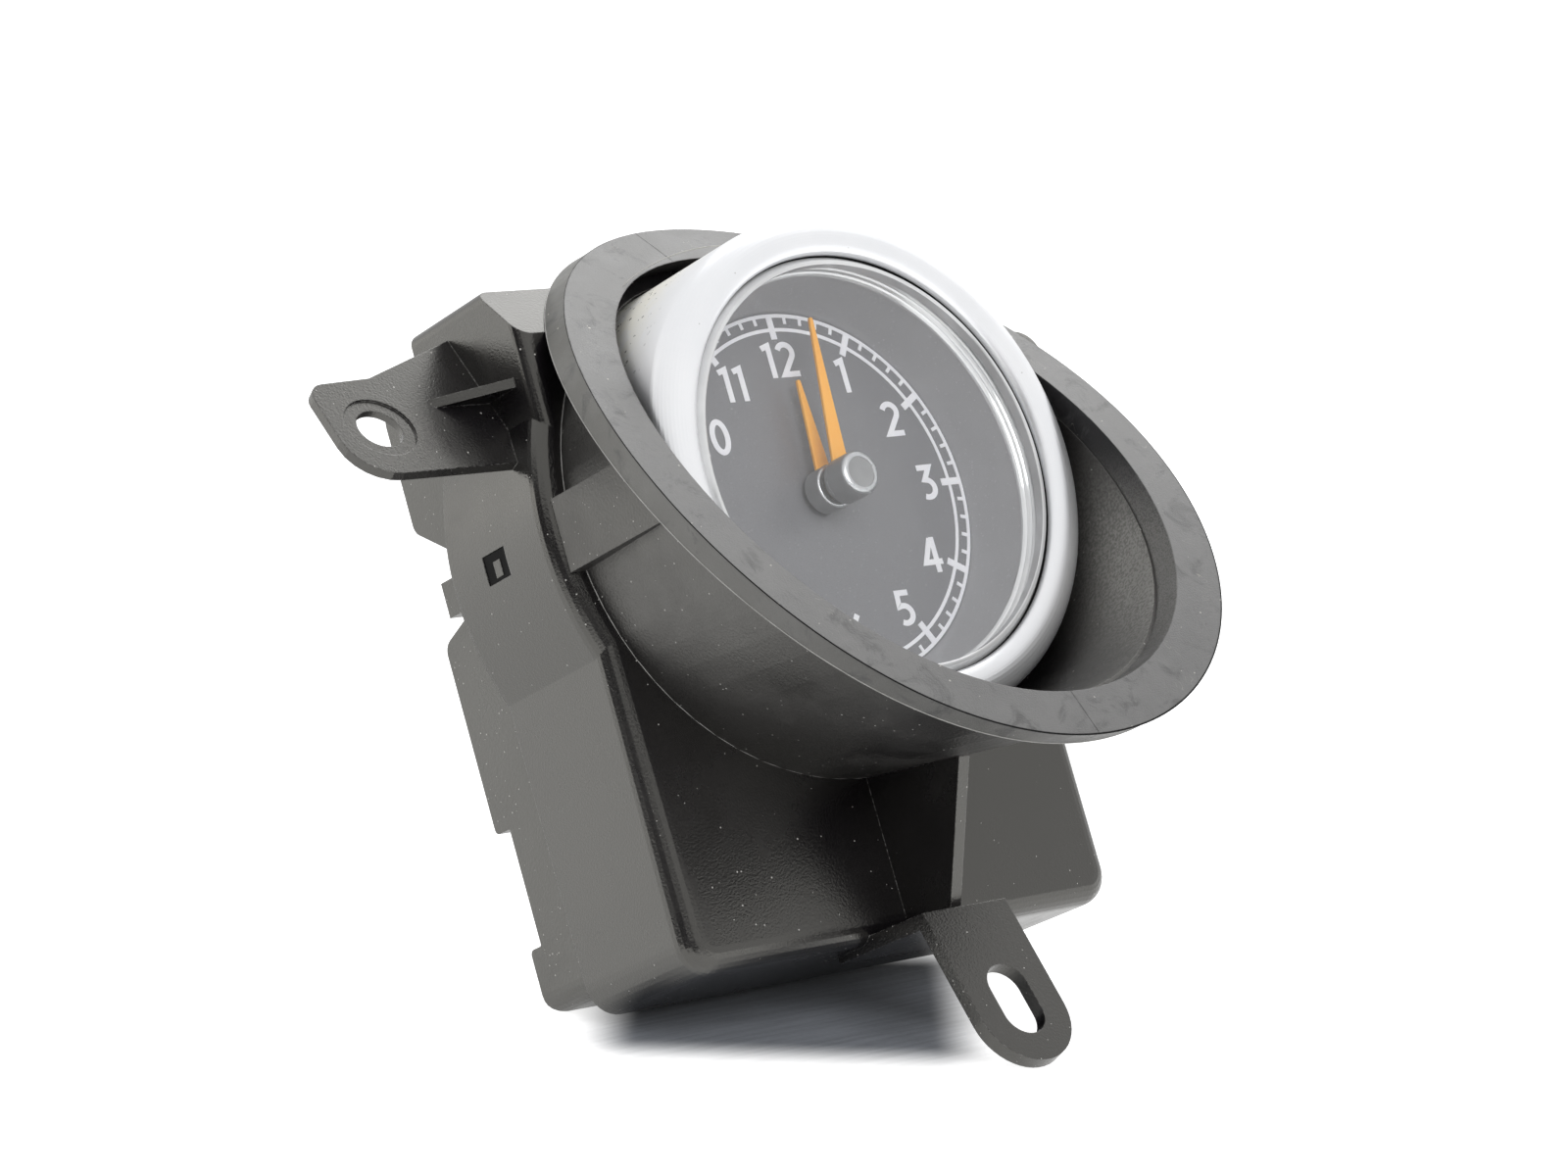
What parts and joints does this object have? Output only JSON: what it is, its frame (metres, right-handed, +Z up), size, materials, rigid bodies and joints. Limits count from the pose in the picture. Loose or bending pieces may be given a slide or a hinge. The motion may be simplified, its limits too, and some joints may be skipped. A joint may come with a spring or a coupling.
{
  "type": "car dashboard clock",
  "caption": "Analogue dashboard clock with a metal bezel, grey dial and orange hands in a black box with a slanted, rubber-rimmed funnel, fixing lugs and a rear connector.",
  "frame": {"origin": "middle of the bounding box on the floor it stands on", "axes": "+Z up, -Y towards the viewer of the dial, +X to the viewer's right"},
  "size_m": [0.1276, 0.1052, 0.1042],
  "materials": {
    "housing": "moulded, fine grain",
    "funnel": "moulded, fine grain",
    "seal": "matte, dusty",
    "bezel": "satin",
    "lens": "clear, polished",
    "light_ring": "clear, polished",
    "dial": "satin",
    "print": "matte ink",
    "light_guide": "polished",
    "board": "solder mask",
    "lamp": "moulded",
    "carrier": "moulded",
    "brass": "brushed",
    "steel": "turned",
    "hand": "satin paint",
    "hub": "satin, turned",
    "wheel": "moulded",
    "magnet": "matte",
    "gasket": "matte",
    "bobbin": "moulded",
    "copper": "enamelled wire",
    "chip": "moulded",
    "capacitor": "sleeve",
    "socket": "moulded",
    "cover": "moulded, coarse grain"
  },
  "bodies": {
    "case": {"front_housing": "housing", "funnel_shroud": "funnel", "rim_seal_left": "seal", "rim_seal_right": "seal", "bezel": "bezel", "lens": "lens", "lens_gasket": "gasket", "light_ring": "light_ring", "dial": "dial", "track_print": "print", "light_guide": "light_guide", "lamp_board": "board", "lamps": "lamp", "dial_carrier": "carrier", "rear_plate": "brass", "minute_post": "steel", "stator": "steel", "coil_bobbin": "bobbin", "coil_winding": "copper", "circuit_board": "board", "control_chip": "chip", "quartz_crystal": "steel", "capacitors": "capacitor", "connector_socket": "socket", "connector_pins": "brass", "movement_screws": "steel", "carrier_screws": "steel", "board_screws": "steel", "rear_cover": "cover"},
    "minute_train": {"centre_wheel": "brass", "cannon_pinion": "steel", "minute_hand": "hand", "hub_cap": "hub"},
    "hour_train": {"hour_wheel": "wheel", "hour_hand": "hand"},
    "minute_wheel_body": {"minute_wheel": "wheel"},
    "intermediate_body": {"intermediate_wheel": "wheel"},
    "rotor_body": {"rotor": "magnet"}
  },
  "joints": [
    {"name": "minute_hand_spin", "type": "hinge", "parent": "case", "child": "minute_train", "pos_m": [0, 0.00509, 0.06728], "axis": [0, 0.8905, -0.4549], "continuous": true},
    {"name": "hour_hand_spin", "type": "hinge", "parent": "case", "child": "hour_train", "pos_m": [0, 0.00509, 0.06728], "axis": [0, 0.8905, -0.4549], "continuous": true},
    {"name": "minute_wheel_spin", "type": "hinge", "parent": "case", "child": "minute_wheel_body", "pos_m": [0.01081, 0.01043, 0.06455], "axis": [0, 0.8905, -0.4549], "continuous": true},
    {"name": "intermediate_wheel_spin", "type": "hinge", "parent": "case", "child": "intermediate_body", "pos_m": [0, 0.0095, 0.04732], "axis": [0, 0.8905, -0.4549], "continuous": true},
    {"name": "rotor_spin", "type": "hinge", "parent": "case", "child": "rotor_body", "pos_m": [0.01351, 0.0095, 0.04732], "axis": [0, 0.8905, -0.4549], "continuous": true}
  ],
  "couplings": [
    {"joint": "hour_hand_spin", "follows": "minute_hand_spin", "ratio": 0.083333},
    {"joint": "minute_wheel_spin", "follows": "minute_hand_spin", "ratio": -0.33333},
    {"joint": "intermediate_wheel_spin", "follows": "minute_hand_spin", "ratio": -6},
    {"joint": "rotor_spin", "follows": "minute_hand_spin", "ratio": 30}
  ]
}
